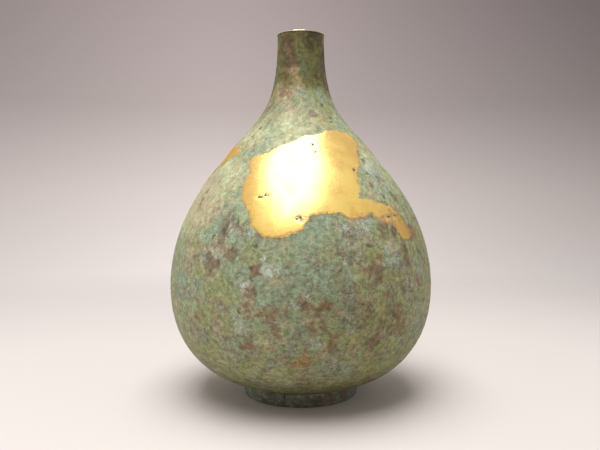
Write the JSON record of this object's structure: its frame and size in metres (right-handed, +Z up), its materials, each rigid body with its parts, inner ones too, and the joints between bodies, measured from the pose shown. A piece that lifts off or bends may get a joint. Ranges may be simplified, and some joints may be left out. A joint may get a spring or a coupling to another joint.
{
  "type": "bud vase",
  "caption": "Bottle-shaped cast bronze bud vase with a narrow neck, a low round belly, a soldered ring foot and patches of gold leaf on the shoulder.",
  "frame": {"origin": "centre of the foot ring's underside, on the surface the vase stands on", "axes": "+Z up along the vase's axis through the mouth; -Y is the front, where the large gold patch is; +X is to the right as one faces the front"},
  "size_m": [0.1744, 0.1744, 0.24],
  "materials": {
    "patinated_bronze": "cast bronze with a matte mottled verdigris: sage green, blue-green and olive, with rust-brown spots and pale flecks",
    "dark_bronze": "turned bronze, darkened, with patches of green patina",
    "aged_solder": "dull grey-brown soft solder",
    "gold_leaf": "burnished gold leaf, warm yellow, with fine rubbing marks and worn edges"
  },
  "bodies": {
    "root": {"vase_body": "patinated_bronze", "foot_ring": "dark_bronze", "foot_solder": "aged_solder", "base_plate": "dark_bronze", "base_solder": "aged_solder", "lip_leaf": "gold_leaf", "front_leaf": "gold_leaf", "side_leaf": "gold_leaf"}
  },
  "joints": []
}
